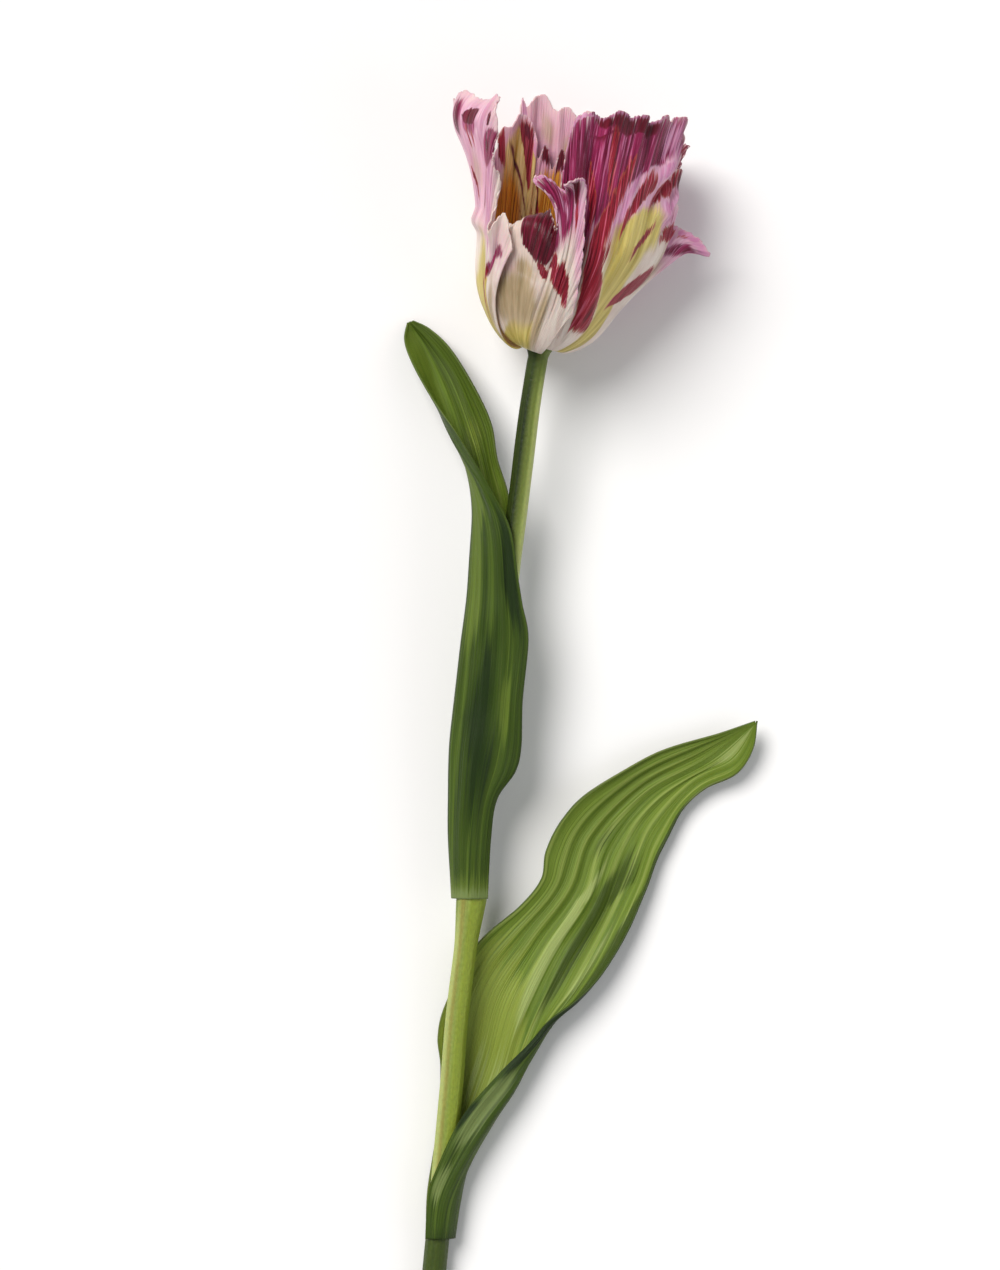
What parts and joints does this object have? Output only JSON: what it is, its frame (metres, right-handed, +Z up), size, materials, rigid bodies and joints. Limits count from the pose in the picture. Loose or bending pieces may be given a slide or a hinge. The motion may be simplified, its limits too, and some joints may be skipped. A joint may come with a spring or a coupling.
{
  "type": "parrot tulip",
  "caption": "Cut parrot tulip lying on a surface: flamed, ruffled tepals in an open cup on a slender bent stem, with long ribbed leaves clasping it.",
  "frame": {"origin": "centre of the bounding box in plan, on the surface that the flower lies on", "axes": "+Y along the stem from its cut end towards the bloom, +X to the right of the bloom as seen from above, +Z up from the surface"},
  "size_m": [0.1201, 0.4185, 0.0736],
  "materials": {
    "stem": "satin",
    "leaf": "satin",
    "tepal": "satin",
    "pistil": "satin",
    "stamen": "matte"
  },
  "bodies": {
    "root": {"stem": "stem", "leaf_upper": "leaf", "leaf_lower": "leaf", "tepal_left": "tepal", "tepal_front": "tepal", "tepal_right": "tepal", "tepal_right_back": "tepal", "tepal_back": "tepal", "tepal_left_back": "tepal", "pistil": "pistil", "stamen_1": "stamen", "stamen_2": "stamen", "stamen_3": "stamen", "stamen_4": "stamen", "stamen_5": "stamen", "stamen_6": "stamen"}
  },
  "joints": []
}
